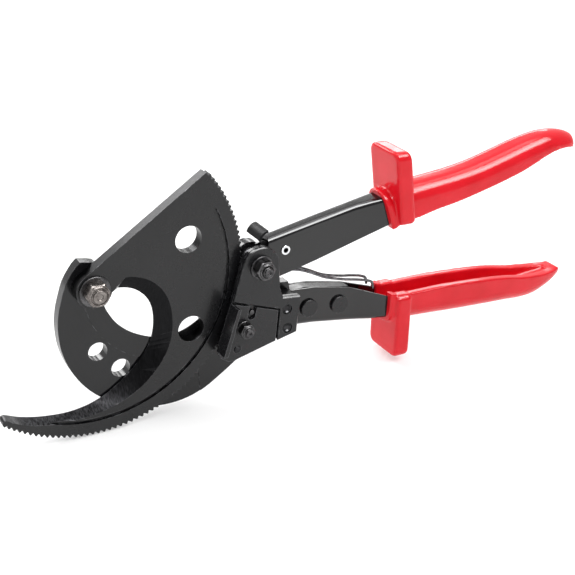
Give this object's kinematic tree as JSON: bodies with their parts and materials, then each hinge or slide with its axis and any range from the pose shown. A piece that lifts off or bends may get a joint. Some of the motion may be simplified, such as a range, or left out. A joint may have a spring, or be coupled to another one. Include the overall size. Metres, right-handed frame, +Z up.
{
  "type": "ratcheting cable cutter",
  "caption": "Hand-held ratchet cutter with a toothed hook blade, a fixed jaw and two red-gripped handles; squeezing walks the blade round to shear a cable held in the bowl.",
  "frame": {"origin": "under the middle of the tool's bounding box, level with its lowest point when it stands on its lower edge", "axes": "+X along the tool from the hook blade to the grips, +Y through the thickness towards the back, away from the nuts, +Z up from the lower handle to the upper handle"},
  "size_m": [0.3448, 0.0382, 0.129],
  "materials": {
    "black_paint": "glossy black enamel over steel",
    "dark_steel": "blackened steel, satin",
    "bronzed_steel": "warm grey plated steel",
    "bright_steel": "bright plated steel",
    "red_plastic": "glossy red dipped plastic"
  },
  "bodies": {
    "frame": {"fixed_jaw": "black_paint", "lower_channel": "black_paint", "lower_grip": "red_plastic", "frame_plate": "black_paint", "cover_plate": "black_paint", "spacer_block": "black_paint", "frame_rivet_1": "dark_steel", "frame_rivet_2": "dark_steel", "handle_rivet_1": "black_paint", "handle_rivet_2": "black_paint", "lever_stop_pin": "dark_steel", "blade_pivot_bolt": "bronzed_steel", "blade_pivot_washer": "bronzed_steel", "blade_pivot_nut": "bronzed_steel", "handle_pivot_bolt": "dark_steel", "handle_pivot_washer": "dark_steel", "handle_pivot_nut": "dark_steel", "handle_pivot_sleeve": "bronzed_steel", "lever_pivot_bolt": "dark_steel", "lever_pivot_washer": "dark_steel", "lever_pivot_nut": "dark_steel", "handle_spring": "bright_steel", "holding_pawl_spring": "bright_steel"},
    "blade": {"moving_blade": "black_paint", "blade_bush": "bronzed_steel"},
    "upper_handle": {"upper_channel": "black_paint", "upper_grip": "red_plastic", "pawl_pin": "bright_steel", "drive_pawl_spring": "bright_steel"},
    "thumb_tab": {"thumb_tab": "black_paint"},
    "drive_pawl": {"drive_pawl": "dark_steel"},
    "release_lever": {"release_lever": "black_paint", "holding_pawl": "dark_steel", "lever_tie_pin": "dark_steel"}
  },
  "joints": [
    {"name": "blade_swing", "type": "hinge", "parent": "frame", "child": "blade", "pos_m": [-0.12458, -0.00068, 0.078], "axis": [0, -1, 0], "range_deg": [-33, 176]},
    {"name": "handle_squeeze", "type": "hinge", "parent": "frame", "child": "upper_handle", "pos_m": [-0.03938, -0.00208, 0.0776], "axis": [0, 1, 0], "range_deg": [0, 21.5], "stiffness_Nm_per_rad": 1.2, "springref_deg": -20.05, "deforming": ["handle_spring", "drive_pawl_spring"]},
    {"name": "tab_press", "type": "hinge", "parent": "upper_handle", "child": "thumb_tab", "pos_m": [-0.02358, -0.00208, 0.0826], "axis": [0, -1, 0], "range_deg": [0, 4], "stiffness_Nm_per_rad": 0.1, "springref_deg": -5.73, "deforming": ["drive_pawl_spring"]},
    {"name": "drive_pawl_tilt", "type": "hinge", "parent": "thumb_tab", "child": "drive_pawl", "pos_m": [-0.02358, -0.00208, 0.0826], "axis": [0, -1, 0], "range_deg": [0, 17.2]},
    {"name": "lever_release", "type": "hinge", "parent": "frame", "child": "release_lever", "pos_m": [-0.04808, -0.00553, 0.045], "axis": [0, -1, 0], "range_deg": [0, 5.6], "stiffness_Nm_per_rad": 0.3, "springref_deg": -11.46, "deforming": ["holding_pawl_spring"]}
  ],
  "couplings": [
    {"joint": "drive_pawl_tilt", "follows": "handle_squeeze", "ratio": 0.8}
  ]
}
